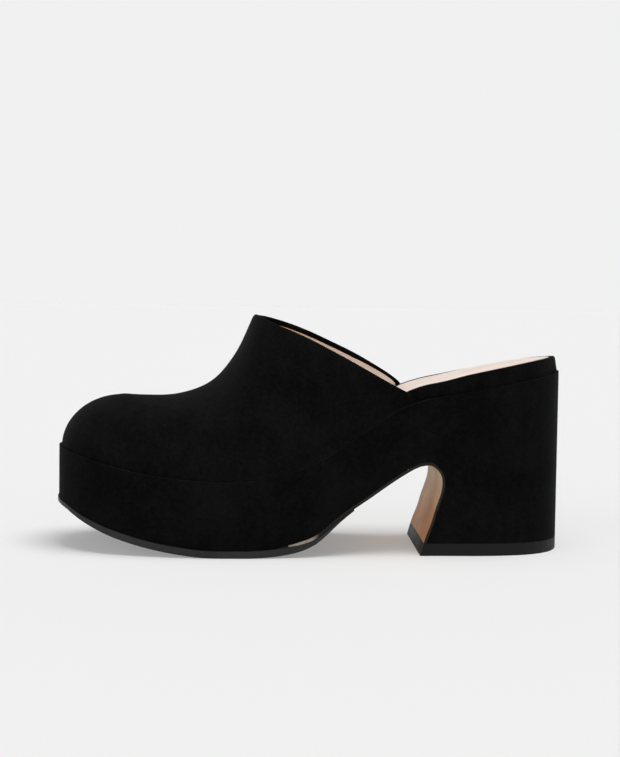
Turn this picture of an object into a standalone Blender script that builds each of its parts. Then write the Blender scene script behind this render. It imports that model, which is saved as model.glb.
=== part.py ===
"""A left platform mule: suede upper, wrapped platform and block heel, rubber sole.

X runs along the shoe, the toe at -X. The outer side is at -Y, the inner side at +Y.
The floor is z = 0, and the origin is in the middle of the shoe's box, on the floor.
"""

import bisect
import math
from collections import namedtuple

import bmesh
import bpy

# The last: lengths, widths and heights, in metres
LENGTH = 0.2468
BALL_WIDTH = 0.0892
HEEL_WIDTH = 0.0616
PLATFORM_HEIGHT = 0.0353
HEEL_HEIGHT = 0.0877
TOE_RISE = 0.0133
TOE_SPRING = 0.0215
ARCH_HEIGHT = 0.0430
THROAT_HEIGHT = 0.1129
RIDGE_OFFSET = 0.0035

# The layers and edges
WALL = 0.0020
RUBBER = 0.0032
LEATHER = 0.0013
HEEL_TIP = 0.0058
HEEL_FLARE = 0.0010
RAND_HEIGHT = 0.0074
SOCK_RECESS = 0.0015
SOCK_DROP = 0.0004
RIM_WIDTH = 0.0016
REAR_RIM_WIDTH = 0.0042
BLOCK_STEP = 0.0005
UPPER_STEP = 0.0010
RAND_STEP = 0.0009
LEATHER_STEP = 0.0004
INSOLE_CLEARANCE = 0.0010
GAP = 0.0003

# Places along the shoe, as shares of its length from the toe
FAN_SHARE = 0.125
FAN_END_SHARE = 0.207
THROAT_SHARE = 0.385
WING_END_SHARE = 0.712
WING_FLARE = 0.045
REAR_RIM_SHARE = 0.900
BLOCK_FLUSH = (0.500, 0.700)
INSOLE_EASED = (0.480, 0.700)
RUBBER_TOE = (0.000, 0.150)
RUBBER_SKIVE = (0.460, 0.615)
LEATHER_SKIVE = (0.435, 0.485)

# The rubber's thickness at the toe, as a share of its full thickness
RUBBER_TOE_THINNING = 0.60

# How finely curves are cut
OUTLINE_POINTS = 116
LINE_POINTS = 56
FAN_ROWS = 12
POLE_ROWS = 5
VAMP_ROWS = 13
WING_ROWS = 20
SIDE_STEPS = 13
WING_STEPS = 9

# Past every end of the shoe, for profiles that an outline trims
MARGIN = 0.007

# Half widths in plan: ball shares are of half the ball width, the heel share of half the heel width
Outline = namedtuple("Outline", "share lateral medial heel")
OUTLINE = [
    Outline(0.000, -0.067, 0.067, 0.000),
    Outline(0.005, 0.169, 0.303, 0.000),
    Outline(0.020, 0.393, 0.528, 0.000),
    Outline(0.050, 0.602, 0.701, 0.000),
    Outline(0.100, 0.778, 0.845, 0.000),
    Outline(0.150, 0.876, 0.921, 0.000),
    Outline(0.200, 0.939, 0.971, 0.000),
    Outline(0.250, 0.980, 0.994, 0.000),
    Outline(0.300, 0.998, 0.999, 0.000),
    Outline(0.350, 0.999, 0.986, 0.000),
    Outline(0.400, 0.985, 0.950, 0.000),
    Outline(0.450, 0.923, 0.864, 0.040),
    Outline(0.500, 0.765, 0.686, 0.200),
    Outline(0.550, 0.608, 0.518, 0.350),
    Outline(0.600, 0.454, 0.369, 0.500),
    Outline(0.650, 0.271, 0.203, 0.700),
    Outline(0.700, 0.134, 0.094, 0.850),
    Outline(0.750, 0.045, 0.031, 0.950),
    Outline(0.800, 0.000, 0.000, 0.998),
    Outline(0.837, 0.000, 0.000, 0.985),
    Outline(0.881, 0.000, 0.000, 0.937),
    Outline(0.926, 0.000, 0.000, 0.832),
    Outline(0.956, 0.000, 0.000, 0.684),
    Outline(0.977, 0.000, 0.000, 0.510),
    Outline(0.992, 0.000, 0.000, 0.285),
    Outline(1.000, 0.000, 0.000, 0.000),
]

# The seam line under the upper: toe is a share of the toe's rise, heel of the rise from ball to heel
Seam = namedtuple("Seam", "share toe heel")
SEAM = [
    Seam(0.000, 1.000, 0.000),
    Seam(0.029, 0.880, 0.000),
    Seam(0.079, 0.650, 0.000),
    Seam(0.131, 0.420, 0.000),
    Seam(0.181, 0.250, 0.000),
    Seam(0.228, 0.129, 0.000),
    Seam(0.293, 0.030, 0.000),
    Seam(0.341, 0.000, 0.000),
    Seam(0.398, 0.000, 0.017),
    Seam(0.448, 0.000, 0.059),
    Seam(0.480, 0.000, 0.107),
    Seam(0.520, 0.000, 0.191),
    Seam(0.561, 0.000, 0.305),
    Seam(0.602, 0.000, 0.437),
    Seam(0.642, 0.000, 0.567),
    Seam(0.683, 0.000, 0.674),
    Seam(0.720, 0.000, 0.738),
    Seam(0.764, 0.000, 0.782),
    Seam(0.829, 0.000, 0.840),
    Seam(0.894, 0.000, 0.897),
    Seam(0.955, 0.000, 0.952),
    Seam(1.000, 0.000, 1.000),
]

# The upper's crest: rise is a share of the throat's height over the platform. A section is
# rounder than an ellipse at its crown or its flank where that power is under two. Past the
# throat the crest goes on over the opening, where it only steers the slope of the wings
Crest = namedtuple("Crest", "share rise crown flank")
CREST = [
    Crest(0.000, 0.200, 2.00, 1.92),
    Crest(0.125, 0.485, 2.02, 1.92),
    Crest(0.150, 0.486, 2.10, 2.00),
    Crest(0.180, 0.484, 2.16, 2.08),
    Crest(0.207, 0.484, 2.20, 2.15),
    Crest(0.233, 0.493, 2.20, 2.15),
    Crest(0.257, 0.512, 2.18, 2.05),
    Crest(0.283, 0.542, 2.14, 1.90),
    Crest(0.306, 0.584, 2.10, 1.72),
    Crest(0.322, 0.631, 2.07, 1.58),
    Crest(0.337, 0.693, 2.04, 1.50),
    Crest(0.352, 0.762, 2.02, 1.42),
    Crest(0.367, 0.852, 2.00, 1.36),
    Crest(0.376, 0.930, 2.00, 1.33),
    Crest(0.385, 1.005, 2.00, 1.31),
    Crest(0.400, 1.115, 2.00, 1.30),
    Crest(0.420, 1.225, 2.00, 1.31),
    Crest(0.460, 1.370, 2.00, 1.38),
    Crest(0.500, 1.440, 2.00, 1.54),
    Crest(0.560, 1.420, 2.02, 1.76),
    Crest(0.620, 1.380, 2.06, 2.00),
    Crest(0.720, 1.370, 2.12, 2.15),
]

# The topline, from the throat to the wing's end: shares of the fall between the two
Topline = namedtuple("Topline", "share lateral medial")
TOPLINE = [
    Topline(0.385, 1.000, 1.000),
    Topline(0.404, 0.962, 0.990),
    Topline(0.426, 0.911, 0.962),
    Topline(0.463, 0.818, 0.890),
    Topline(0.490, 0.750, 0.826),
    Topline(0.512, 0.681, 0.769),
    Topline(0.550, 0.557, 0.655),
    Topline(0.593, 0.412, 0.530),
    Topline(0.628, 0.290, 0.405),
    Topline(0.662, 0.168, 0.275),
    Topline(0.682, 0.100, 0.188),
    Topline(0.696, 0.052, 0.112),
    Topline(0.712, 0.000, 0.000),
]

# The rand over the seam: a share of its height at the heel
Rand = namedtuple("Rand", "share rise")
RAND = [
    Rand(0.000, 0.50),
    Rand(0.400, 0.54),
    Rand(0.560, 0.75),
    Rand(0.650, 0.93),
    Rand(0.700, 0.94),
    Rand(0.760, 0.96),
    Rand(0.800, 1.03),
    Rand(0.850, 1.075),
    Rand(0.940, 1.13),
    Rand(1.000, 1.00),
]

# The walking line from the toe to the ball, as shares of the toe spring
Spring = namedtuple("Spring", "share rise")
TOE_LINE = [
    Spring(-0.028, 1.060),
    Spring(0.000, 1.000),
    Spring(0.028, 0.900),
    Spring(0.041, 0.820),
    Spring(0.066, 0.667),
    Spring(0.089, 0.546),
    Spring(0.111, 0.445),
    Spring(0.133, 0.360),
    Spring(0.177, 0.223),
    Spring(0.220, 0.124),
    Spring(0.262, 0.054),
    Spring(0.290, 0.018),
    Spring(0.318, 0.000),
]

# The line from the ball up the arch and down the heel's front, as shares of the arch's height
Arch = namedtuple("Arch", "share rise")
ARCH_LINE = [
    Arch(0.386, 0.000),
    Arch(0.418, 0.010),
    Arch(0.451, 0.031),
    Arch(0.479, 0.064),
    Arch(0.505, 0.123),
    Arch(0.524, 0.198),
    Arch(0.541, 0.288),
    Arch(0.559, 0.386),
    Arch(0.585, 0.507),
    Arch(0.638, 0.730),
    Arch(0.680, 0.890),
    Arch(0.709, 0.980),
    Arch(0.726, 1.000),
    Arch(0.735, 0.993),
    Arch(0.745, 0.951),
    Arch(0.752, 0.900),
    Arch(0.755, 0.830),
    Arch(0.754, 0.730),
    Arch(0.748, 0.612),
    Arch(0.741, 0.495),
    Arch(0.734, 0.353),
    Arch(0.726, 0.235),
    Arch(0.721, 0.149),
    Arch(0.714, 0.000),
]


def read(rows, share, column):
    """The column's value at a share, on a smooth curve through the rows."""
    shares = [row.share for row in rows]
    values = [getattr(row, column) for row in rows]
    share = min(max(share, shares[0]), shares[-1])
    low = min(max(bisect.bisect_right(shares, share) - 1, 0), len(rows) - 2)

    def slope(at):
        before, after = max(at - 1, 0), min(at + 1, len(rows) - 1)
        return (values[after] - values[before]) / (shares[after] - shares[before])

    step = shares[low + 1] - shares[low]
    t = (share - shares[low]) / step
    return (
        (1 + 2 * t) * (1 - t) ** 2 * values[low]
        + t * (1 - t) ** 2 * step * slope(low)
        + t * t * (3 - 2 * t) * values[low + 1]
        - t * t * (1 - t) * step * slope(low + 1)
    )


def ramp(value, start, end):
    return min(max((value - start) / (end - start), 0.0), 1.0)


def smooth_ramp(value, start, end):
    t = ramp(value, start, end)
    return t * t * (3 - 2 * t)


def mix(a, b, t):
    return a + (b - a) * t


def x_at(share):
    return LENGTH * (share - 0.5)


def share_at(x):
    return x / LENGTH + 0.5


def seam(share):
    """Height of the seam line, on which the upper and the rand stand."""
    heel_rise = HEEL_HEIGHT - PLATFORM_HEIGHT
    return PLATFORM_HEIGHT + TOE_RISE * read(SEAM, share, "toe") + heel_rise * read(SEAM, share, "heel")


def crest(share):
    return PLATFORM_HEIGHT + (THROAT_HEIGHT - PLATFORM_HEIGHT) * read(CREST, share, "rise")


def topline(share, side):
    low = seam(WING_END_SHARE) + GAP
    return low + (THROAT_HEIGHT - low) * read(TOPLINE, share, side)


def rand_top(share):
    return seam(share) + RAND_HEIGHT * read(RAND, share, "rise")


def smooth_path(points, spans, closed=False):
    """A centripetal Catmull-Rom curve through 2D points, each gap cut into so many spans."""
    count = len(points)
    if closed:
        ends = [points[-1]] + points + points[:2]
    else:
        before = [2 * a - b for a, b in zip(points[0], points[1])]
        after = [2 * a - b for a, b in zip(points[-1], points[-2])]
        ends = [before] + points + [after]
    path = []
    for i in range(count if closed else count - 1):
        p0, p1, p2, p3 = ends[i : i + 4]
        t0, t1, t2 = (math.sqrt(math.dist(a, b)) for a, b in ((p0, p1), (p1, p2), (p2, p3)))
        for step in range(spans):
            u = step / spans
            point = []
            for a, b, c, d in zip(p0, p1, p2, p3):
                leave = t1 * ((b - a) / t0 - (c - a) / (t0 + t1) + (c - b) / t1)
                reach = t1 * ((c - b) / t1 - (d - b) / (t1 + t2) + (d - c) / t2)
                point.append(
                    (1 + 2 * u) * (1 - u) ** 2 * b
                    + u * (1 - u) ** 2 * leave
                    + u * u * (3 - 2 * u) * c
                    - u * u * (1 - u) * reach
                )
            path.append(tuple(point))
    return path if closed else path + [tuple(points[-1])]


def lengths_along(path):
    total = [0.0]
    for a, b in zip(path, path[1:]):
        total.append(total[-1] + math.dist(a, b))
    return total


def point_along(path, lengths, distance):
    i = min(max(bisect.bisect_right(lengths, distance) - 1, 0), len(path) - 2)
    t = (distance - lengths[i]) / (lengths[i + 1] - lengths[i])
    return tuple(mix(a, b, t) for a, b in zip(path[i], path[i + 1]))


def spaced(path, count):
    """The path again, as points an equal way apart, both ends included."""
    lengths = lengths_along(path)
    return [point_along(path, lengths, lengths[-1] * i / (count - 1)) for i in range(count)]


def offset(path, distance_at, closed=False):
    """The 2D path moved to its left, by a distance that depends on its first coordinate."""
    moved = []
    last = len(path) - 1
    for i, (x, y) in enumerate(path):
        before = path[i - 1] if i or closed else path[i]
        after = path[(i + 1) % len(path)] if i < last or closed else path[i]
        along = (after[0] - before[0], after[1] - before[1])
        size = math.hypot(*along)
        distance = distance_at(x)
        moved.append((x - distance * along[1] / size, y + distance * along[0] / size))
    return moved


def outline_sides(height):
    """The sole's edge in plan at a height, as one path a side, from toe to heel."""
    ball = BALL_WIDTH / 2
    heel = HEEL_WIDTH / 2 + HEEL_FLARE * (1 - height / HEEL_HEIGHT)
    lateral = [(x_at(row.share), -row.lateral * ball - row.heel * heel) for row in OUTLINE]
    medial = [(x_at(row.share), row.medial * ball + row.heel * heel) for row in OUTLINE]
    ring = smooth_path(lateral + medial[-2:0:-1], 8, closed=True)
    back = 8 * (len(OUTLINE) - 1)
    return ring[: back + 1], [ring[0]] + ring[: back - 1 : -1]


def outline_ring(height, inset_at):
    """The closed outline in plan at a height, moved inwards, counterclockwise from the toe."""
    lateral, medial = outline_sides(height)
    half = OUTLINE_POINTS // 2 + 1
    ring = spaced(lateral, half) + spaced(medial, half)[-2:0:-1]
    return offset(ring, inset_at, closed=True)


def inset_sides(inset):
    """Both sides of an outline moved inwards, from toe to heel."""
    lateral, medial = outline_sides(0)
    ring = offset(lateral + medial[-2:0:-1], lambda x: inset, closed=True)
    back = len(lateral) - 1
    return {"lateral": ring[: back + 1], "medial": [ring[0]] + ring[: back - 1 : -1]}


def y_on(path, x):
    """The y of a side path at x, where the path runs from toe to heel."""
    places = [point[0] for point in path]
    i = min(max(bisect.bisect_right(places, x) - 1, 0), len(path) - 2)
    return mix(path[i][1], path[i + 1][1], (x - places[i]) / (places[i + 1] - places[i]))


def block_inset(x):
    """Behind the rubber's edge in front, flush with the top piece at the heel."""
    return BLOCK_STEP * (1 - smooth_ramp(share_at(x), *BLOCK_FLUSH))


def leather_inset(x):
    return block_inset(x) + LEATHER_STEP


def insole_inset(x):
    """Clear of the upper's wall, then out to the platform's edge behind the wings."""
    share = share_at(x)
    front = BLOCK_STEP + UPPER_STEP + WALL + GAP + INSOLE_CLEARANCE * (1 - smooth_ramp(share, *INSOLE_EASED))
    return mix(front, RAND_STEP, smooth_ramp(share, WING_END_SHARE, WING_END_SHARE + WING_FLARE))


def sock_inset(x):
    rim = mix(RIM_WIDTH, REAR_RIM_WIDTH, smooth_ramp(share_at(x), REAR_RIM_SHARE, 1.0))
    return insole_inset(x) + rim


def walking_line():
    """The underside in side view, from past the toe to the front corner of the heel's tip."""
    toe = smooth_path([(x_at(row.share), TOE_SPRING * row.rise) for row in TOE_LINE], 4)
    arch = smooth_path([(x_at(row.share), ARCH_HEIGHT * row.rise) for row in ARCH_LINE], 3)
    return [(x, max(z, 0.0)) for x, z in toe + arch]


def lift(x):
    """How far the rubber sole holds the layer above it off the walking line."""
    thin = mix(RUBBER_TOE_THINNING, 1.0, smooth_ramp(share_at(x), *RUBBER_TOE))
    return (RUBBER * thin + GAP) * (1 - ramp(share_at(x), *RUBBER_SKIVE))


def leather_thickness(x):
    return mix(-GAP, LEATHER, ramp(share_at(x), *LEATHER_SKIVE))


def cut_at_height(path, height):
    """The path up to where its last stretch comes down to the height."""
    end = len(path) - 1
    while path[end][1] < height:
        end -= 1
    a, b = path[end], path[end + 1]
    t = (height - a[1]) / (b[1] - a[1])
    return path[: end + 1] + [(mix(a[0], b[0], t), height)]


def line_of(height_at, start, end, count=LINE_POINTS):
    shares = [mix(start, end, i / (count - 1)) for i in range(count)]
    return [(x_at(share), height_at(share)) for share in shares]


def past_ends(height_at):
    """A side-view line over the whole shoe, run out level past the toe and the heel."""
    reach = LENGTH / 2 + MARGIN
    return [(-reach, height_at(0.0))] + line_of(height_at, 0.0, 1.0) + [(reach, height_at(1.0))]


def material(name, colour, roughness):
    made = bpy.data.materials.new(name)
    made.use_nodes = True
    made.diffuse_color = (*colour, 1.0)
    shader = made.node_tree.nodes["Principled BSDF"]
    shader.inputs["Base Color"].default_value = (*colour, 1.0)
    shader.inputs["Roughness"].default_value = roughness
    shader.inputs["Metallic"].default_value = 0.0
    return made


def new_object(name, mesh, collection):
    made = bpy.data.objects.new(name, mesh)
    collection.objects.link(made)
    return made


def as_cutter(obj):
    obj.hide_render = True
    obj.display_type = "WIRE"
    return obj


def mesh_from(bm, name):
    mesh = bpy.data.meshes.new(name)
    bm.to_mesh(mesh)
    bm.free()
    return mesh


def slab(name, profile, collection):
    """A side-view outline filled and drawn out across the shoe's width."""
    curve = bpy.data.curves.new(name, "CURVE")
    curve.dimensions = "2D"
    curve.fill_mode = "BOTH"
    curve.extrude = BALL_WIDTH
    spline = curve.splines.new("POLY")
    spline.points.add(len(profile) - 1)
    for point, (x, z) in zip(spline.points, profile):
        point.co = (x, z, 0.0, 1.0)
    spline.use_cyclic_u = True
    drawn = new_object(name + "_outline", curve, collection)
    drawn.rotation_euler = (math.radians(90), 0.0, 0.0)
    bpy.context.view_layer.update()
    graph = bpy.context.evaluated_depsgraph_get()
    mesh = bpy.data.meshes.new_from_object(drawn.evaluated_get(graph))
    bm = bmesh.new()
    bm.from_mesh(mesh)
    bmesh.ops.remove_doubles(bm, verts=bm.verts, dist=1e-6)
    bmesh.ops.recalc_face_normals(bm, faces=bm.faces)
    bm.to_mesh(mesh)
    bm.free()
    made = new_object(name, mesh, collection)
    made.matrix_world = drawn.matrix_world
    bpy.data.objects.remove(drawn)
    return made


def column(name, inset_at, collection):
    """The plan outline drawn up from under the floor to over the shoe, flared at the heel."""
    levels = (-MARGIN, THROAT_HEIGHT + MARGIN)
    bm = bmesh.new()
    rings = [[bm.verts.new((x, y, z)) for x, y in outline_ring(z, inset_at)] for z in levels]
    low, high = rings
    for i in range(len(low)):
        bm.faces.new((low[i - 1], low[i], high[i], high[i - 1]))
    bm.faces.new(low[::-1])
    bm.faces.new(high)
    return as_cutter(new_object(name, mesh_from(bm, name), collection))


def add_boolean(obj, operation, other):
    modifier = obj.modifiers.new(operation.title(), "BOOLEAN")
    modifier.operation = operation
    modifier.object = other


def finish(obj, look):
    obj.data.materials.clear()
    obj.data.materials.append(look)
    obj.data.shade_smooth()
    obj.data.set_sharp_from_angle(angle=math.radians(35))


def trimmed(name, profile, inset_at, look, parts, cutters):
    """A layer of the shoe: its side profile, trimmed all round to the plan outline."""
    made = slab(name, profile, parts)
    add_boolean(made, "INTERSECT", column(name + "_edge", inset_at, cutters))
    finish(made, look)
    return made


def side_y(x, z, side, edges):
    """The y of the upper's flank at a place in side view."""
    share = share_at(x)
    rise = (z - seam(share)) / (crest(share) - seam(share))
    flank = min(max(rise, 0.0), 1.0) ** read(CREST, share, "flank")
    spread = (1 - flank) ** (1 / read(CREST, share, "crown"))
    return mix(RIDGE_OFFSET, y_on(edges[side], x), spread)


def vamp_section(foot, spine_share):
    """Points from a foot on the seam up a rounded arch to the crest."""
    spine = (x_at(spine_share), RIDGE_OFFSET, crest(spine_share))
    crown = read(CREST, share_at(foot[0]), "crown")
    flank = read(CREST, share_at(foot[0]), "flank")
    low = seam(share_at(foot[0])) + GAP
    section = []
    for step in range(SIDE_STEPS + 1):
        turn = math.pi / 2 * step / SIDE_STEPS
        inwards = 1 - math.cos(turn) ** (2 / crown) if step < SIDE_STEPS else 1.0
        upwards = math.sin(turn) ** (2 / flank)
        section.append(
            (mix(foot[0], spine[0], inwards), mix(foot[1], spine[1], inwards), mix(low, spine[2], upwards))
        )
    return section


def topline_points(side, edges):
    """The topline in space from the throat to the wing's end, an equal way apart."""
    path = []
    for i in range(400):
        share = mix(THROAT_SHARE, WING_END_SHARE, (i / 399) ** 2)
        x, z = x_at(share), topline(share, side)
        path.append((x, RIDGE_OFFSET if i == 0 else side_y(x, z, side, edges), z))
    return spaced(path, WING_ROWS + 1)[1:]


def wing_section(foot_x, top, steps, side, edges):
    """Points from the seam up the flank to one point of the topline."""
    low = seam(share_at(foot_x)) + GAP
    share = share_at(top[0])
    flank = read(CREST, share, "flank")
    reach = (top[2] - seam(share)) / (crest(share) - seam(share))
    last_turn = math.asin(min(reach, 1.0) ** (flank / 2))
    section = []
    for step in range(steps + 1):
        turn = last_turn * step / steps
        up = (math.sin(turn) / math.sin(last_turn)) ** (2 / flank)
        x, z = mix(foot_x, top[0], up), mix(low, top[2], up)
        section.append((x, side_y(x, z, side, edges), z))
    section[-1] = top
    return section


def upper_sections(side):
    """The upper's sections on one side, from the toe's middle back to the wing's end."""
    edges = inset_sides(BLOCK_STEP + UPPER_STEP)
    edge = edges[side]
    fan_x = x_at(FAN_END_SHARE)
    fan = [point for point in edge if point[0] < fan_x] + [(fan_x, y_on(edge, fan_x))]
    sections = []
    for i, foot in enumerate(spaced(fan, FAN_ROWS + 1)):
        spine_share = mix(FAN_SHARE, FAN_END_SHARE, ramp(i, POLE_ROWS, FAN_ROWS) ** 1.3)
        sections.append(vamp_section(foot, spine_share))
    for i in range(1, VAMP_ROWS + 1):
        share = mix(FAN_END_SHARE, THROAT_SHARE, i / VAMP_ROWS)
        foot = (x_at(share), y_on(edge, x_at(share)))
        sections.append(vamp_section(foot, share))
    for i, top in enumerate(topline_points(side, edges)[:-1], start=1):
        foot_x = x_at(mix(THROAT_SHARE, WING_END_SHARE, i / WING_ROWS))
        steps = max(SIDE_STEPS - i, WING_STEPS)
        sections.append(wing_section(foot_x, top, steps, side, edges))
    return sections


def make_upper(parts, look):
    """One suede shell over the toes and instep, open behind the throat and underneath."""
    bm = bmesh.new()
    for side in ("lateral", "medial"):
        rows = [[bm.verts.new(point) for point in section] for section in upper_sections(side)]
        end_x = x_at(WING_END_SHARE)
        end_y = y_on(inset_sides(BLOCK_STEP + UPPER_STEP)[side], end_x)
        end = bm.verts.new((end_x, end_y, seam(WING_END_SHARE) + GAP))
        faces = []
        for row, after in zip(rows, rows[1:]):
            last = len(after) - 1
            faces += [(row[j], after[j], after[j + 1], row[j + 1]) for j in range(last)]
            if len(row) > len(after):
                faces.append((row[last], after[last], row[last + 1]))
        faces += [(low, end, high) for low, high in zip(rows[-1], rows[-1][1:])]
        for corners in faces:
            bm.faces.new(corners if side == "lateral" else corners[::-1])
    bmesh.ops.remove_doubles(bm, verts=bm.verts, dist=1e-6)
    made = new_object("upper", mesh_from(bm, "upper"), parts)
    finish(made, look)
    shell = made.modifiers.new("Wall", "SOLIDIFY")
    shell.thickness = WALL
    shell.offset = -1.0
    shell.use_even_offset = True
    return made


def make_platform(parts, cutters, look):
    """Platform, shank and block heel, wrapped in suede as one piece."""
    under = []
    for x, z in walking_line():
        under.append((x, z + lift(x)))
    under = offset(under, lambda x: leather_thickness(x) + GAP)
    under = cut_at_height(under, HEEL_TIP + GAP)
    heel_corner = [(LENGTH / 2 + MARGIN, HEEL_TIP + GAP)]
    profile = past_ends(seam) + heel_corner + under[::-1]
    trimmed("platform_block", profile, block_inset, look, parts, cutters)


def make_outsole(parts, cutters, look):
    """The rubber sole of the forepart, skived out to nothing behind the ball."""
    walking = [point for point in walking_line() if lift(point[0]) > 2 * GAP]
    top = [(x, z + lift(x) - GAP) for x, z in walking]
    trimmed("outsole", walking + top[::-1], lambda x: 0.0, look, parts, cutters)


def make_waist_leather(parts, cutters, look):
    """The thin leather that covers the arch and the heel's front."""
    low = [(x, z + lift(x)) for x, z in walking_line() if leather_thickness(x) > GAP]
    high = offset(low, leather_thickness)
    low = cut_at_height(low, HEEL_TIP + GAP)
    high = cut_at_height(high, HEEL_TIP + GAP)
    trimmed("waist_leather", low + high[::-1], leather_inset, look, parts, cutters)


def make_heel_tip(parts, cutters, look):
    """The rubber top piece that the heel stands on."""
    front = cut_at_height(walking_line(), HEEL_TIP)[-1]
    reach = LENGTH / 2 + MARGIN
    profile = [walking_line()[-1], (reach, 0.0), (reach, HEEL_TIP), front]
    trimmed("heel_tip", profile, lambda x: 0.0, look, parts, cutters)


def make_insole(parts, cutters, look):
    """The insole board with its wrapped edge, recessed for the sock lining."""
    profile = past_ends(lambda share: seam(share) + GAP) + past_ends(rand_top)[::-1]
    insole = trimmed("insole", profile, insole_inset, look, parts, cutters)
    floor = past_ends(lambda share: rand_top(share) - SOCK_RECESS)
    high = THROAT_HEIGHT + MARGIN
    recess_profile = floor + [(floor[-1][0], high), (floor[0][0], high)]
    recess = as_cutter(slab("insole_recess", recess_profile, cutters))
    edge = column("insole_recess_edge", lambda x: sock_inset(x) - GAP, cutters)
    add_boolean(recess, "INTERSECT", edge)
    add_boolean(insole, "DIFFERENCE", recess)


def make_sock_lining(parts, cutters, look):
    """The thin leather sheet that the foot stands on, laid in the insole's recess."""
    low = past_ends(lambda share: rand_top(share) - SOCK_RECESS + GAP)
    high = past_ends(lambda share: rand_top(share) - SOCK_DROP)
    trimmed("sock_lining", low + high[::-1], sock_inset, look, parts, cutters)


def clear_scene():
    for obj in list(bpy.data.objects):
        bpy.data.objects.remove(obj)


def main():
    clear_scene()
    parts = bpy.data.collections.new("Platform mule")
    cutters = bpy.data.collections.new("Cutters")
    for collection in (parts, cutters):
        bpy.context.scene.collection.children.link(collection)
    suede = material("Black suede", (0.012, 0.012, 0.013), 0.92)
    rubber = material("Black rubber", (0.030, 0.030, 0.032), 0.55)
    leather = material("Tan leather", (0.290, 0.185, 0.120), 0.50)
    sock = material("Pale leather", (0.840, 0.730, 0.660), 0.60)
    make_upper(parts, suede)
    make_insole(parts, cutters, suede)
    make_sock_lining(parts, cutters, sock)
    make_platform(parts, cutters, suede)
    make_outsole(parts, cutters, rubber)
    make_waist_leather(parts, cutters, leather)
    make_heel_tip(parts, cutters, rubber)


main()
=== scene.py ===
"""The platform mule's looks: brushed suede, lining, sock, tan waist leather and rubber, in a pale studio."""
import math

import bmesh
import bpy
from mathutils import Matrix, Vector


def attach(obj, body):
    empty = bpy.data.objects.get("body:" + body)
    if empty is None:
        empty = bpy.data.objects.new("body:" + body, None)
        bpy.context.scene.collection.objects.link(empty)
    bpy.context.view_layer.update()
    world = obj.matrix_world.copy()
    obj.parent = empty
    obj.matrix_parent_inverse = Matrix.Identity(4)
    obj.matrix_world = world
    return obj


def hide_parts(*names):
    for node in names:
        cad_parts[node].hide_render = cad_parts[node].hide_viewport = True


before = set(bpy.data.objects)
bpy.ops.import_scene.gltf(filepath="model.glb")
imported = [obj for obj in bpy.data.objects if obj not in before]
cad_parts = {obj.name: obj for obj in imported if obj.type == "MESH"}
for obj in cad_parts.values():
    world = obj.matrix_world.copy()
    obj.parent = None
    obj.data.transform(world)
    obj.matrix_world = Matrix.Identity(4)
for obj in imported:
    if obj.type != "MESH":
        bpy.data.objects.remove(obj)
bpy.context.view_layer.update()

MM = 0.001

# Every piece: what is joined to merge a solid's loose triangles back into faces
SAME_POINT = 0.01 * MM
QUAD_FACES_ANGLE = math.radians(40)
QUAD_CORNERS_ANGLE = math.radians(60)

# Insole and platform: what is joined so that their corners have room to be rounded
FLAT_ANGLE = math.radians(1.5)
CORNER_JOIN = 0.9 * MM

# Every piece: the angles from which edges are rounded, and from which they stay sharp in the shading
ROUNDED_ANGLE = math.radians(50)
SHARP_ANGLE = math.radians(40)
SHEET_SHARP_ANGLE = math.radians(50)

# Every piece: the least upright share of a level face's normal, and the most of a wall's
LYING = 0.7
STANDING = 0.5

# Upper: the suede's own thickness and the lining's, and its limit as a share of the edges beside it
SUEDE = 0.60 * MM
LINING = 0.40 * MM
THICKNESS_CLAMP = 2.5

# Upper: the shell is parted into its sheets at rims sharper than this, and small waves are evened out
SHELL_RIM_ANGLE = math.radians(55)
EVENING_PASSES = 4
EVENING_RIM = 0.50
EVENING_WITHIN = 0.35

# Upper: how far its rim leans in, at the throat and along the wings, and where along X
LEAN_THROAT = 0.35 * MM
LEAN_SIDE = 0.70 * MM
THROAT_X = -28.0 * MM
LEAN_GROWS_X = (THROAT_X, -6.0 * MM)
LEAN_FADES_X = (30.0 * MM, 48.0 * MM)
RIM_DROP = 0.15 * MM
MOST_RIM_DROP = 0.40

# Upper: the suede is folded over the rim and glued down inside
FOLD_HEIGHT = 0.60 * MM
THROAT_RISE = 0.45 * MM
RISE_FADES_X = (THROAT_X, -16.0 * MM)
FOLD_STEPS = 7
FOLD_FADES = (5.0 * MM, 1.2 * MM)
TURNED_EDGE = 2.10 * MM
TURNED_WIDER = 0.30
TURNED_WIDER_X = (15.0 * MM, 36.0 * MM)
TURNED_ROOM = 0.90
TURN_LIFT = 0.24 * MM
TURN_SHARES = (0.30, 0.62, 0.94)
SAME_PLACE = 0.05 * MM

# Upper: how many points on either side set the fold's course and its slope
COURSE_POINTS = 2
SLOPE_POINTS = 3

# Upper: its lining ends under the turned edge and short of the wings' ends, and has painted light towards
# them, a colour that turns paler there
LINING_SHORT = 1.15 * MM
MOST_LINING_SHORT = 0.85
LINING_END_X = 46.5 * MM
PAINTED_LIGHT_X = (-14.0 * MM, 26.0 * MM)
PAINTED_LIGHT_SHARE = 0.75

# Upper: its foot settles on the platform, and comes out flush with it in the waist
FOOT_DROP = 0.28 * MM
FOOT_OUT = 1.20 * MM
FOOT_OUT_X = (-36.0 * MM, 0.0)

# Insole: it is pressed down on the platform, and its wrapped edge is rounded behind the wings
PRESSED_DOWN = 0.34 * MM
WRAP_ROUND = 1.1 * MM
WRAP_STEPS = 4
WRAP_PROFILE = 0.5
RIM_FROM_X = 46.0 * MM

# Insole: how far its edge leans in at the back of the heel
REAR_LEAN = 1.2 * MM
REAR_LEAN_X = (100.0 * MM, 118.0 * MM)
HEEL_MIDDLE = Vector((85.0 * MM, 0.0, 0.0))

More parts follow.
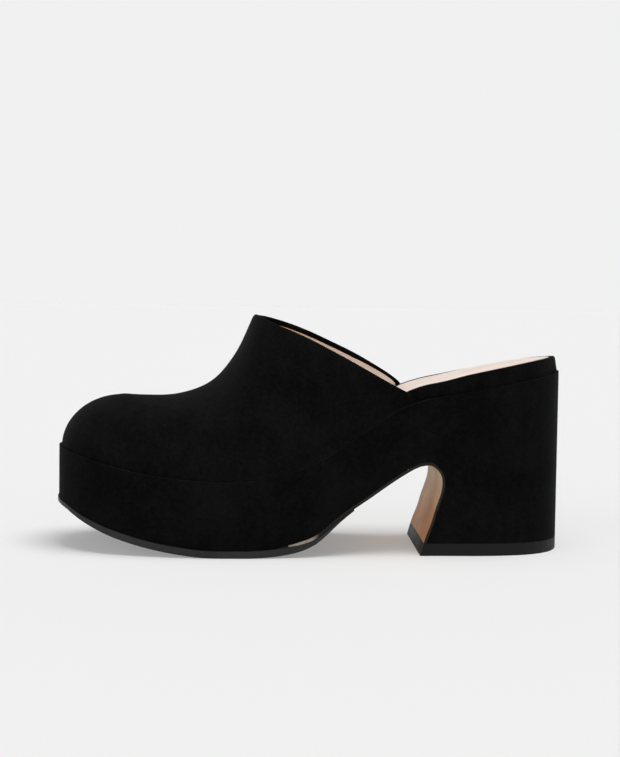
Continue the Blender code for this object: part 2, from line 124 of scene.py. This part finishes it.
# Heel seat: a little higher on its outer side, with the sock level with the rim towards the back
SEAT_TILT = 0.42 * MM
SEAT_TILT_X = (60.0 * MM, 78.0 * MM)
SEAT_HALF_WIDTH = 28.0 * MM
SOCK_RISE = 0.50 * MM
SOCK_RISE_X = (60.0 * MM, 90.0 * MM)

# Other edges: their rounding, and its number of steps
SOCK_ROUND = (0.40 * MM, 3)
PLATFORM_ROUND = (0.38 * MM, 3)
RUBBER_ROUND = (0.35 * MM, 2)
LEATHER_ROUND = (0.22 * MM, 2)

# Rubber: the downward share of a normal from which a face is a walking face
WALKING = 0.6

# Waist leather: its edge is bare by the sole's end, and stained dark up the arch and down the heel
BARE_EDGE_X = (1.0 * MM, 4.5 * MM)
HEEL_FRONT_X = 46.0 * MM
ARCH_TOP_Z = 41.5 * MM
TAN_DEEP_Z = (13.0 * MM, 36.0 * MM)

# Waist leather: the share of a normal from which a face is glued or cut, on the heel and in the arch
GLUED_ON_HEEL = 0.60
GLUED_IN_ARCH = 0.10
CUT_ON_HEEL = 0.55
CUT_IN_ARCH = 0.30

# Colours: each finish runs from a darker to a lighter one
SUEDE_TONES = ((0.0027, 0.0029, 0.0027), (0.0055, 0.0059, 0.0055))
SUEDE_SHEEN = (0.80, 0.86, 0.82, 1.0)
LINING_TONES = ((0.67, 0.46, 0.34), (0.82, 0.62, 0.49))
# Lining: the pale colour of its painted light towards the wings' ends
PAINTED_LIGHT_LINING = (0.95, 0.84, 0.76)
SOCK_TONES = ((0.80, 0.665, 0.585), (0.90, 0.785, 0.715))
TAN_HIGH_TONES = ((0.505, 0.370, 0.240), (0.615, 0.470, 0.320))
TAN_LOW_TONES = ((0.360, 0.148, 0.057), (0.460, 0.205, 0.085))
TAN_STREAK = (0.43, 0.24, 0.14)
TAN_PORE = (0.25, 0.15, 0.09)
BARE_EDGE_TONES = ((0.33, 0.26, 0.20), (0.47, 0.40, 0.35))
STAINED_EDGE_TONES = ((0.010, 0.008, 0.007), (0.019, 0.016, 0.014))
SOLE_TONES = ((0.0135, 0.0132, 0.0132), (0.0250, 0.0245, 0.0238))
TIP_TONES = ((0.0030, 0.0030, 0.0036), (0.0058, 0.0057, 0.0066))
TREAD_TONES = ((0.018, 0.018, 0.019), (0.034, 0.034, 0.034))

# Finishes: the values of a noise between which a finish runs through its tones
LEATHER_SPREAD = (0.35, 0.68)
BLOOM_SPREAD = (0.35, 0.70)
WIDE_SPREAD = (0.30, 0.70)
RIB_SCALE = 105.0

# Studio: the white that surrounds the shoe, the heights between which it dims, and the floor
STUDIO_WHITE = 0.879
OVERHEAD_WHITE = 0.08
DIMMING_HEIGHTS = (0.26, 0.42)
FLOOR_SHADE = 0.815
FLOOR_SIZE = 160.0

# Studio: each broad light's direction, strength and breadth in degrees
OVERHEAD_LIGHT = ((-0.25, 0.10, -1.0), 1.38, 38)
FRONT_LIGHT = ((0.70, 0.75, -0.36), 0.54, 60)
FILL_LIGHT = ((0.0, 0.0, -1.0), 1.34, 60)

# Camera, as fitted to the photograph: a place and three angles
EYE = Vector((-0.0184, -0.6798, 0.1183))
TURN = -0.0274
TIP_DOWN = 0.0534
ROLL = 0.0143
LENS = 65.54
SENSOR_WIDTH = 36.0
FARTHEST_SEEN = 300.0


def only(obj):
    """Selects one object and nothing else."""
    bpy.ops.object.select_all(action="DESELECT")
    obj.select_set(True)
    bpy.context.view_layer.objects.active = obj


def enter(obj, kind, action):
    """Into edit mode on vertices or edges, with all or none of them selected."""
    only(obj)
    bpy.ops.object.mode_set(mode="EDIT")
    bpy.ops.mesh.select_mode(type=kind)
    bpy.ops.mesh.select_all(action=action)


def leave():
    bpy.ops.object.mode_set(mode="OBJECT")


def apply_modifiers(obj):
    only(obj)
    for modifier in list(obj.modifiers):
        bpy.ops.object.modifier_apply(modifier=modifier.name)


def refine(obj):
    """Rounds the piece with one level of a subdivision surface."""
    modifier = obj.modifiers.new("Refine", "SUBSURF")
    modifier.levels = 1
    apply_modifiers(obj)


def round_edges(obj, width, segments):
    modifier = obj.modifiers.new("Round edges", "BEVEL")
    modifier.width = width
    modifier.segments = segments
    modifier.limit_method = "ANGLE"
    modifier.angle_limit = ROUNDED_ANGLE
    apply_modifiers(obj)


def thicken(obj, thickness):
    """Gives a sheet its thickness inwards, with no spikes beside short edges."""
    modifier = obj.modifiers.new("Thickness", "SOLIDIFY")
    modifier.thickness = thickness
    modifier.offset = -1.0
    modifier.use_even_offset = True
    modifier.thickness_clamp = THICKNESS_CLAMP
    apply_modifiers(obj)


def smooth(obj, angle=SHARP_ANGLE):
    only(obj)
    bpy.ops.object.shade_smooth_by_angle(angle=angle)


def ramp(value, start, end):
    """From 0 to 1 between two places, eased at both."""
    t = min(max((value - start) / (end - start), 0.0), 1.0)
    return t * t * (3 - 2 * t)


def move_all(moves):
    """Moves each vertex, once all the moves are known."""
    for vert, move in moves:
        vert.co += move


def merged_copy(node, name):
    """A piece of its own from a CAD node, its loose triangles merged back into faces."""
    only(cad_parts[node])
    bpy.ops.object.duplicate()
    piece = bpy.context.active_object
    piece.name = name
    piece.data.name = name
    piece.data.materials.clear()
    enter(piece, "VERT", "SELECT")
    bpy.ops.mesh.remove_doubles(threshold=SAME_POINT)
    bpy.ops.mesh.tris_convert_to_quads(face_threshold=QUAD_FACES_ANGLE, shape_threshold=QUAD_CORNERS_ANGLE)
    leave()
    bpy.ops.object.shade_smooth()
    return piece


def clean_corners(piece):
    """Joins the flat faces and the points that lie closer together than a corner's rounding needs."""
    enter(piece, "VERT", "SELECT")
    bpy.ops.mesh.dissolve_limited(angle_limit=FLAT_ANGLE)
    bpy.ops.mesh.select_all(action="SELECT")
    bpy.ops.mesh.remove_doubles(threshold=CORNER_JOIN)
    leave()


def dress(piece, look, node):
    """Gives a piece its look and its slot, in the place of a CAD node."""
    piece.data.materials.append(look)
    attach(piece, "root")
    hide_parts(node)


def paint_faces(piece, look, wanted):
    """Gives a second look to the faces that a test wants."""
    piece.data.materials.append(look)
    for face in piece.data.polygons:
        if wanted(face):
            face.material_index = 1


# Finishes


class Finish:
    """A procedural finish on Object coordinates."""

    def __init__(self, name, roughness):
        self.look = bpy.data.materials.new(name)
        self.look.use_nodes = True
        self.nodes = self.look.node_tree.nodes
        self.links = self.look.node_tree.links
        self.shader = self.nodes["Principled BSDF"]
        self.shader.inputs["Roughness"].default_value = roughness
        self.place = self.nodes.new("ShaderNodeTexCoord").outputs["Object"]

    def set(self, **sockets):
        for socket, value in sockets.items():
            self.shader.inputs[socket.replace("_", " ")].default_value = value

    def stretched(self, x, y, z):
        mapping = self.nodes.new("ShaderNodeMapping")
        mapping.inputs["Scale"].default_value = (x, y, z)
        self.links.new(self.place, mapping.inputs["Vector"])
        return mapping.outputs["Vector"]

    def along(self, axis):
        axes = self.nodes.new("ShaderNodeSeparateXYZ")
        self.links.new(self.place, axes.inputs["Vector"])
        return axes.outputs[axis]

    def noise(self, scale, detail=2.0, roughness=0.5, distortion=0.0, vector=None):
        noise = self.nodes.new("ShaderNodeTexNoise")
        noise.inputs["Scale"].default_value = scale
        noise.inputs["Detail"].default_value = detail
        noise.inputs["Roughness"].default_value = roughness
        noise.inputs["Distortion"].default_value = distortion
        self.links.new(vector or self.place, noise.inputs["Vector"])
        return noise.outputs["Fac"]

    def pores(self, scale):
        cells = self.nodes.new("ShaderNodeTexVoronoi")
        cells.feature = "DISTANCE_TO_EDGE"
        cells.inputs["Scale"].default_value = scale
        self.links.new(self.place, cells.inputs["Vector"])
        return cells.outputs["Distance"]

    def between(self, value, low, high, to_low=0.0, to_high=1.0):
        spread = self.nodes.new("ShaderNodeMapRange")
        spread.inputs["From Min"].default_value = low
        spread.inputs["From Max"].default_value = high
        spread.inputs["To Min"].default_value = to_low
        spread.inputs["To Max"].default_value = to_high
        self.links.new(value, spread.inputs["Value"])
        return spread.outputs["Result"]

    def maths(self, operation, a, b):
        maths = self.nodes.new("ShaderNodeMath")
        maths.operation = operation
        for socket, value in zip(maths.inputs, (a, b)):
            if isinstance(value, float):
                socket.default_value = value
            else:
                self.links.new(value, socket)
        return maths.outputs["Value"]

    def sum_of(self, *shares):
        """The sum of noises, each times its share."""
        total = None
        for value, share in shares:
            part = self.maths("MULTIPLY", value, share)
            total = part if total is None else self.maths("ADD", total, part)
        return total

    def blend(self, amount, a, b, kind="MIX"):
        mixer = self.nodes.new("ShaderNodeMix")
        mixer.data_type = "RGBA"
        mixer.blend_type = kind
        for name, value in (("Factor_Float", amount), ("A_Color", a), ("B_Color", b)):
            socket = next(found for found in mixer.inputs if found.identifier == name)
            if isinstance(value, float):
                socket.default_value = value
            elif isinstance(value, tuple):
                socket.default_value = (*value, 1.0)
            else:
                self.links.new(value, socket)
        return next(found for found in mixer.outputs if found.identifier == "Result_Color")

    def colour(self, output):
        self.links.new(output, self.shader.inputs["Base Color"])

    def roughness(self, output):
        self.links.new(output, self.shader.inputs["Roughness"])

    def bump(self, height, distance, strength, under=None):
        bump = self.nodes.new("ShaderNodeBump")
        bump.inputs["Strength"].default_value = strength
        bump.inputs["Distance"].default_value = distance
        self.links.new(height, bump.inputs["Height"])
        if under is not None:
            self.links.new(under, bump.inputs["Normal"])
        self.links.new(bump.outputs["Normal"], self.shader.inputs["Normal"])
        return bump.outputs["Normal"]


def suede_finish():
    """Black suede: a short nap, brushed into small lighter and darker places."""
    suede = Finish("Brushed black suede", roughness=0.95)
    suede.set(Sheen_Weight=0.035, Sheen_Roughness=0.45, Specular_IOR_Level=0.015)
    suede.set(Sheen_Tint=SUEDE_SHEEN)
    clouds = suede.noise(34, detail=3.0, roughness=0.5, distortion=0.5)
    strokes = suede.noise(130, detail=3.0, roughness=0.6, vector=suede.stretched(1.0, 1.0, 0.45))
    tufts = suede.noise(520, detail=3.0, roughness=0.6, distortion=0.3)
    nap = suede.noise(2100, detail=2.0, roughness=0.7)
    brushed = suede.sum_of((clouds, 0.38), (strokes, 0.27), (tufts, 0.35))
    body = suede.blend(suede.between(brushed, 0.42, 0.60), *SUEDE_TONES)
    grain = suede.between(nap, *WIDE_SPREAD, to_low=0.62, to_high=1.38)
    suede.colour(suede.blend(1.0, body, grain, "MULTIPLY"))
    soft = suede.bump(suede.noise(260, detail=3.0, roughness=0.6), 0.25 * MM, strength=0.35)
    suede.bump(nap, 0.16 * MM, strength=0.55, under=soft)
    return suede.look


def lining_finish(name, tones, painted_light_x=None):
    """Smooth pale lining leather with fine pores and faint creases. Given a span along X, it gets painted
    light that turns it paler along that span.
    """
    leather = Finish(name, roughness=0.55)
    leather.set(Specular_IOR_Level=0.30)
    tone = leather.noise(46, detail=3.0, roughness=0.5)
    pores = leather.pores(1500)
    body = leather.blend(leather.between(tone, *LEATHER_SPREAD), *tones)
    # Painted light: the lining turns paler along X, towards the wings' ends
    if painted_light_x is not None:
        painted_light = leather.between(leather.along("X"), *painted_light_x, to_high=PAINTED_LIGHT_SHARE)
        body = leather.blend(painted_light, body, PAINTED_LIGHT_LINING)
    in_pores = leather.between(pores, 0.0, 0.05, to_low=0.10, to_high=0.0)
    leather.colour(leather.blend(in_pores, body, tones[0]))
    creases = leather.bump(leather.noise(420, detail=4.0, roughness=0.6), 0.12 * MM, strength=0.30)
    leather.bump(leather.between(pores, 0.0, 0.10), 0.05 * MM, strength=0.45, under=creases)
    return leather.look


def tan_finish():
    """Tan waist leather: an even grain, a little darker and redder low down on the heel's front."""
    tan = Finish("Tan waist leather", roughness=0.52)
    tan.set(Specular_IOR_Level=0.12)
    tone = tan.noise(60, detail=4.0, roughness=0.55, distortion=0.3)
    streaks = tan.noise(150, detail=3.0, vector=tan.stretched(1.0, 0.25, 0.35))
    pores = tan.pores(1150)
    high = tan.blend(tan.between(tone, *LEATHER_SPREAD), *TAN_HIGH_TONES)
    low = tan.blend(tan.between(tone, *LEATHER_SPREAD), *TAN_LOW_TONES)
    body = tan.blend(tan.between(tan.along("Z"), *TAN_DEEP_Z), low, high)
    body = tan.blend(tan.between(streaks, 0.40, 0.70, to_high=0.30), body, TAN_STREAK)
    in_pores = tan.between(pores, 0.0, 0.06, to_low=0.22, to_high=0.0)
    tan.colour(tan.blend(in_pores, body, TAN_PORE))
    tan.roughness(tan.between(tone, *WIDE_SPREAD, to_low=0.62, to_high=0.50))
    soft = tan.bump(tan.noise(380, detail=3.0), 0.15 * MM, strength=0.35)
    tan.bump(tan.between(pores, 0.0, 0.12), 0.06 * MM, strength=0.55, under=soft)
    return tan.look


def cut_edge_finish():
    """The cut edge of the waist leather: pale and fibrous by the sole's end, stained dark up the arch."""
    edge = Finish("Cut leather edge", roughness=0.70)
    edge.set(Specular_IOR_Level=0.25)
    fibres = edge.noise(900, detail=3.0, vector=edge.stretched(0.5, 1.0, 2.0))
    bare = edge.blend(edge.between(fibres, *WIDE_SPREAD), *BARE_EDGE_TONES)
    stained = edge.blend(edge.between(fibres, *WIDE_SPREAD), *STAINED_EDGE_TONES)
    edge.colour(edge.blend(edge.between(edge.along("X"), *BARE_EDGE_X), bare, stained))
    edge.bump(fibres, 0.10 * MM, strength=0.40)
    return edge.look


def rubber_finish(name, tones, roughness):
    """Moulded black rubber, with fine grain and a little bloom."""
    rubber = Finish(name, roughness)
    rubber.set(Specular_IOR_Level=0.22)
    bloom = rubber.noise(70, detail=4.0, roughness=0.6)
    rubber.colour(rubber.blend(rubber.between(bloom, *BLOOM_SPREAD), *tones))
    rubber.roughness(rubber.between(bloom, *WIDE_SPREAD, roughness - 0.06, roughness + 0.08))
    rubber.bump(rubber.noise(2600), 0.06 * MM, strength=0.50)
    return rubber.look


def tread_finish():
    """The walking face of the rubber: fine ribs across the sole."""
    rubber = Finish("Ribbed rubber tread", roughness=0.62)
    rubber.set(Specular_IOR_Level=0.40)
    ribs = rubber.nodes.new("ShaderNodeTexWave")
    ribs.wave_profile = "SIN"
    ribs.bands_direction = "X"
    ribs.inputs["Scale"].default_value = RIB_SCALE
    ribs.inputs["Distortion"].default_value = 0.0
    rubber.links.new(rubber.place, ribs.inputs["Vector"])
    bloom = rubber.noise(90, detail=4.0, roughness=0.6)
    rubber.colour(rubber.blend(rubber.between(bloom, *BLOOM_SPREAD), *TREAD_TONES))
    grain = rubber.bump(rubber.noise(2400), 0.06 * MM, strength=0.50)
    rubber.bump(ribs.outputs["Fac"], 0.50 * MM, strength=0.80, under=grain)
    return rubber.look


# Upper


def split_sheets(shell):
    """The upper's shell parted at its sharp rims: its outer sheet and its inner sheet."""
    enter(shell, "EDGE", "DESELECT")
    bpy.ops.mesh.edges_select_sharp(sharpness=SHELL_RIM_ANGLE)
    bpy.ops.mesh.edge_split(type="EDGE")
    bpy.ops.mesh.select_all(action="SELECT")
    bpy.ops.mesh.separate(type="LOOSE")
    leave()
    parts = bpy.context.selected_objects
    outer, inner, *rims = sorted(parts, key=lambda part: -sum(face.area for face in part.data.polygons))
    for rim in rims:
        bpy.data.objects.remove(rim)
    return outer, inner


def rims_of(bm):
    """A sheet's topline and its foot, as rows of vertices from one wing's end to the other's."""
    bm.normal_update()
    rim = [vert for vert in bm.verts if vert.is_boundary]
    first = max((vert for vert in rim if vert.co.y < 0), key=lambda vert: vert.co.x)
    last = max((vert for vert in rim if vert.co.y > 0), key=lambda vert: vert.co.x)
    rows = []
    for start in first.link_edges:
        if not start.is_boundary:
            continue
        row, edge = [first], start
        while row[-1] is not last:
            row.append(edge.other_vert(row[-1]))
            edge = next(e for e in row[-1].link_edges if e.is_boundary and e is not edge)
        rows.append(row)
    return sorted(rows, key=lambda row: -sum(vert.co.z for vert in row) / len(row))


def ways_within(vert):
    """The ways from a vertex of the rim to its neighbours within the sheet."""
    return [edge.other_vert(vert).co - vert.co for edge in vert.link_edges if not edge.is_boundary]


def even_out(bm, topline):
    """Takes the small waves out of a sheet and out of its topline."""
    within = [vert for vert in bm.verts if not vert.is_boundary]
    for _ in range(EVENING_PASSES):
        middles = [(before.co + after.co) / 2 for before, after in zip(topline, topline[2:])]
        for vert, middle in zip(topline[1:-1], middles):
            vert.co = vert.co.lerp(middle, EVENING_RIM)
        bmesh.ops.smooth_vert(
            bm, verts=within, factor=EVENING_WITHIN, use_axis_x=True, use_axis_y=True, use_axis_z=True
        )
    bm.normal_update()


def shape_sheet(sheet, inwards):
    """Leans the sheet's rim in over the opening and settles its foot on the platform."""
    bm = bmesh.new()
    bm.from_mesh(sheet.data)
    topline, foot = rims_of(bm)
    even_out(bm, topline)
    moves = []
    for vert in topline:
        lean = LEAN_THROAT + (LEAN_SIDE - LEAN_THROAT) * ramp(vert.co.x, *LEAN_GROWS_X)
        lean *= 1 - ramp(vert.co.x, *LEAN_FADES_X)
        drop = min(ways_within(vert), key=lambda way: way.z, default=Vector())
        if drop.length > 0:
            drop = drop * min(RIM_DROP / drop.length, MOST_RIM_DROP)
        moves.append((vert, vert.normal * inwards * lean + drop))
    for vert in foot:
        out = Vector((vert.normal.x, vert.normal.y, 0.0)).normalized() * -inwards
        out *= FOOT_OUT * ramp(vert.co.x, *FOOT_OUT_X)
        moves.append((vert, out - Vector((0.0, 0.0, FOOT_DROP))))
    move_all(moves)
    bm.to_mesh(sheet.data)
    bm.free()


def trim_lining(lining, topline):
    """Draws the lining's edge down under the turned suede, and ends it short of the wings' ends."""
    moves = []
    for vert in topline[1:-1]:
        drop = min(ways_within(vert), key=lambda way: way.z, default=Vector())
        if drop.length > 0:
            moves.append((vert, drop * min(LINING_SHORT / drop.length, MOST_LINING_SHORT)))
    move_all(moves)
    beyond = [face for face in lining.faces if face.calc_center_median().x > LINING_END_X]
    bmesh.ops.delete(lining, geom=beyond, context="FACES")


def slope_inside(inside, i):
    """The lining's normal at a point of its topline, and the way down along it."""
    after = inside[min(i + COURSE_POINTS, len(inside) - 1)]
    before = inside[max(i - COURSE_POINTS, 0)]
    course = (after.co - before.co).normalized()
    near = inside[max(i - SLOPE_POINTS, 0) : i + SLOPE_POINTS + 1]
    normal = sum((vert.normal for vert in near), Vector())
    normal = (normal - normal.project(course)).normalized()
    down = course.cross(normal)
    return normal, -down if down.z > 0 else down


def fold_over(outer, inner):
    """Carries the outer sheet over the rim in a round fold and down inside, over the lining's edge."""
    lining = bmesh.new()
    lining.from_mesh(inner.data)
    inside, low_rim = rims_of(lining)
    bm = bmesh.new()
    bm.from_mesh(outer.data)
    outside, _ = rims_of(bm)
    end_x = min(outside[0].co.x, outside[-1].co.x)
    rows = []
    for i, (rim, turn) in enumerate(zip(outside, inside)):
        normal, down = slope_inside(inside, i)
        room = min((turn.co - low.co).length for low in low_rim)
        turned = TURNED_EDGE * (1 + TURNED_WIDER * ramp(rim.co.x, *TURNED_WIDER_X))
        reach = min(1.0, room / (TURNED_ROOM * turned))
        reach *= 1 - ramp(rim.co.x, end_x - FOLD_FADES[0], end_x - FOLD_FADES[1])
        at_throat = 1 - ramp(rim.co.x, *RISE_FADES_X)
        height = (FOLD_HEIGHT + THROAT_RISE * at_throat) * reach
        over = turn.co + normal * TURN_LIFT
        middle = (rim.co + over) / 2
        half = (over - rim.co) / 2
        places = []
        for step in range(1, FOLD_STEPS + 1):
            angle = math.pi * step / FOLD_STEPS
            places.append(middle - half * math.cos(angle) - down * height * math.sin(angle))
        places += [over + down * turned * reach * share for share in TURN_SHARES]
        places.append(turn.co + down * turned * reach)
        rows.append([rim] + [bm.verts.new(place) for place in places])
    folded = []
    for row, after in zip(rows, rows[1:]):
        for j in range(len(row) - 1):
            folded.append(bm.faces.new((row[j], after[j], after[j + 1], row[j + 1])))
    bm.normal_update()
    crest = max(folded, key=lambda face: face.calc_center_median().z)
    if crest.normal.z < 0:
        bmesh.ops.reverse_faces(bm, faces=folded)
    bmesh.ops.remove_doubles(bm, verts=bm.verts, dist=SAME_PLACE)
    bm.to_mesh(outer.data)
    bm.free()
    trim_lining(lining, inside)
    lining.to_mesh(inner.data)
    lining.free()


def make_upper(suede, lining):
    """The upper's suede, folded over its rim, and the lining inside it."""
    outer, inner = split_sheets(merged_copy("upper", "upper_shell"))
    outer.name = "upper_suede"
    inner.name = "upper_lining"
    for sheet, inwards in ((outer, -1), (inner, 1)):
        refine(sheet)
        shape_sheet(sheet, inwards)
        refine(sheet)
    fold_over(outer, inner)
    for sheet, thickness in ((outer, SUEDE), (inner, LINING)):
        thicken(sheet, thickness)
        smooth(sheet, SHEET_SHARP_ANGLE)
    dress(outer, suede, "upper")
    dress(inner, lining, "upper")


# Insole, sock and platform


def seat_tilt(place):
    """How far the heel seat stands over its level at a place: up on the outer side, down on the inner."""
    across = min(max(-place.y / SEAT_HALF_WIDTH, -1.0), 1.0)
    return SEAT_TILT * across * ramp(place.x, *SEAT_TILT_X)


def on_seat_rim(edge):
    """Whether an edge runs round the seat's outer rim, behind the wings."""
    if len(edge.link_faces) != 2 or min(vert.co.x for vert in edge.verts) < RIM_FROM_X:
        return False
    low, high = sorted(edge.link_faces, key=lambda face: face.normal.z)
    outward = (edge.verts[0].co - HEEL_MIDDLE).xy.dot(low.normal.xy) > 0
    return high.normal.z > LYING and abs(low.normal.z) < STANDING and outward


def insole_move(vert):
    """Down on the platform for the underside. Above it, with the seat's tilt, and leaning in at the back."""
    if min(face.normal.z for face in vert.link_faces) < -LYING:
        return Vector((0.0, 0.0, -PRESSED_DOWN))
    move = Vector((0.0, 0.0, seat_tilt(vert.co)))
    walls = [face.normal for face in vert.link_faces if abs(face.normal.z) < STANDING]
    out = sum(walls, Vector((0.0, 0.0, 0.0)))
    if walls and out.dot(vert.co - HEEL_MIDDLE) > 0:
        move -= Vector((out.x, out.y, 0.0)).normalized() * REAR_LEAN * ramp(vert.co.x, *REAR_LEAN_X)
    return move


def make_insole(suede):
    """The insole's suede-wrapped edge, rounded round the heel."""
    insole = merged_copy("insole", "insole_edge")
    clean_corners(insole)
    bm = bmesh.new()
    bm.from_mesh(insole.data)
    bm.normal_update()
    move_all([(vert, insole_move(vert)) for vert in bm.verts])
    bm.normal_update()
    rim = [edge for edge in bm.edges if on_seat_rim(edge)]
    bmesh.ops.bevel(
        bm,
        geom=rim,
        offset=WRAP_ROUND,
        segments=WRAP_STEPS,
        profile=WRAP_PROFILE,
        affect="EDGES",
        clamp_overlap=False,
    )
    bm.to_mesh(insole.data)
    bm.free()
    smooth(insole)
    dress(insole, suede, "insole")


def make_sock(leather):
    """The sock, laid in the insole's recess and following the seat's tilt."""
    sock = merged_copy("sock_lining", "sock_leather")
    bm = bmesh.new()
    bm.from_mesh(sock.data)
    for vert in bm.verts:
        top = max(face.normal.z for face in vert.link_faces) > LYING
        vert.co.z += seat_tilt(vert.co) + SOCK_RISE * top * ramp(vert.co.x, *SOCK_RISE_X)
    bm.to_mesh(sock.data)
    bm.free()
    round_edges(sock, *SOCK_ROUND)
    smooth(sock)
    dress(sock, leather, "sock_lining")


def make_platform(suede):
    """Platform, shank and heel in one wrap of suede, with softened corners."""
    platform = merged_copy("platform_block", "platform_wrap")
    clean_corners(platform)
    round_edges(platform, *PLATFORM_ROUND)
    smooth(platform)
    dress(platform, suede, "platform_block")


# Underside


def make_rubber(node, name, rubber, tread):
    """A rubber piece with the tread on its walking face."""
    piece = merged_copy(node, name)
    round_edges(piece, *RUBBER_ROUND)
    smooth(piece)
    dress(piece, rubber, node)
    paint_faces(piece, tread, lambda face: face.normal.z < -WALKING)


def cut_or_glued(face):
    """Whether a face of the waist leather is its cut edge, or lies against the suede."""
    if face.center.x > HEEL_FRONT_X and face.center.z < ARCH_TOP_Z:
        return face.normal.x > GLUED_ON_HEEL or abs(face.normal.y) > CUT_ON_HEEL
    return face.normal.z > GLUED_IN_ARCH or abs(face.normal.y) > CUT_IN_ARCH


def make_waist(tan, cut_edge):
    waist = merged_copy("waist_leather", "waist_leather_cover")
    round_edges(waist, *LEATHER_ROUND)
    smooth(waist)
    dress(waist, tan, "waist_leather")
    paint_faces(waist, cut_edge, cut_or_glued)


# Studio


def make_floor():
    """A plain pale floor, wide enough that its far edge melts into the studio's own white."""
    bpy.ops.mesh.primitive_plane_add(size=FLOOR_SIZE, location=(0.0, 0.0, 0.0))
    floor = bpy.context.active_object
    floor.name = "studio_floor"
    paper = bpy.data.materials.new("Pale paper")
    paper.use_nodes = True
    shader = paper.node_tree.nodes["Principled BSDF"]
    shader.inputs["Base Color"].default_value = (FLOOR_SHADE, FLOOR_SHADE, FLOOR_SHADE, 1.0)
    shader.inputs["Roughness"].default_value = 1.0
    shader.inputs["Specular IOR Level"].default_value = 0.0
    floor.data.materials.append(paper)


def add_soft_sun(name, direction, strength, breadth, shadow):
    """A broad even light from one side, as from a large softbox far off."""
    bpy.ops.object.light_add(type="SUN")
    sun = bpy.context.active_object
    sun.name = name
    sun.data.energy = strength
    sun.data.angle = math.radians(breadth)
    sun.data.use_shadow = shadow
    sun.rotation_euler = Vector(direction).to_track_quat("-Z", "Y").to_euler()


def light_studio():
    """White all round at eye level, dimmer overhead, where a broad soft light takes over."""
    world = bpy.data.worlds.new("Studio light")
    world.use_nodes = True
    nodes = world.node_tree.nodes
    links = world.node_tree.links
    direction = nodes.new("ShaderNodeTexCoord")
    height = nodes.new("ShaderNodeSeparateXYZ")
    fade = nodes.new("ShaderNodeMapRange")
    fade.interpolation_type = "SMOOTHSTEP"
    fade.inputs["From Min"].default_value = DIMMING_HEIGHTS[0]
    fade.inputs["From Max"].default_value = DIMMING_HEIGHTS[1]
    fade.inputs["To Min"].default_value = STUDIO_WHITE
    fade.inputs["To Max"].default_value = OVERHEAD_WHITE
    links.new(direction.outputs["Generated"], height.inputs["Vector"])
    links.new(height.outputs["Z"], fade.inputs["Value"])
    links.new(fade.outputs["Result"], nodes["Background"].inputs["Strength"])
    nodes["Background"].inputs["Color"].default_value = (1.0, 1.0, 1.0, 1.0)
    bpy.context.scene.world = world
    add_soft_sun("overhead_light", *OVERHEAD_LIGHT, shadow=True)
    add_soft_sun("front_light", *FRONT_LIGHT, shadow=False)
    add_soft_sun("fill_light", *FILL_LIGHT, shadow=False)


def place_camera():
    """The camera at its fitted place, turned by its three angles."""
    ahead = math.cos(TIP_DOWN)
    forward = Vector((-math.sin(TURN) * ahead, math.cos(TURN) * ahead, -math.sin(TIP_DOWN)))
    level_right = Vector((math.cos(TURN), math.sin(TURN), 0.0))
    level_up = level_right.cross(forward)
    right = math.cos(ROLL) * level_right + math.sin(ROLL) * level_up
    up = math.cos(ROLL) * level_up - math.sin(ROLL) * level_right
    bpy.ops.object.camera_add(location=EYE)
    camera = bpy.context.active_object
    turned = Matrix((right, up, -forward)).transposed()
    camera.rotation_euler = turned.to_euler()
    camera.data.lens = LENS
    camera.data.sensor_width = SENSOR_WIDTH
    camera.data.sensor_fit = "AUTO"
    camera.data.clip_end = FARTHEST_SEEN
    bpy.context.scene.camera = camera


black_suede = suede_finish()
sole_rubber = rubber_finish("Sole rubber edge", SOLE_TONES, roughness=0.50)
tip_rubber = rubber_finish("Top piece rubber edge", TIP_TONES, roughness=0.58)
rubber_tread = tread_finish()
# The lining gets painted light, paler towards the wings' ends
make_upper(black_suede, lining_finish("Lining leather", LINING_TONES, PAINTED_LIGHT_X))
make_insole(black_suede)
make_sock(lining_finish("Sock leather", SOCK_TONES))
make_platform(black_suede)
make_rubber("outsole", "rubber_sole", sole_rubber, rubber_tread)
make_waist(tan_finish(), cut_edge_finish())
make_rubber("heel_tip", "heel_top_piece", tip_rubber, rubber_tread)
make_floor()
light_studio()
place_camera()
bpy.context.scene.view_settings.view_transform = "Standard"
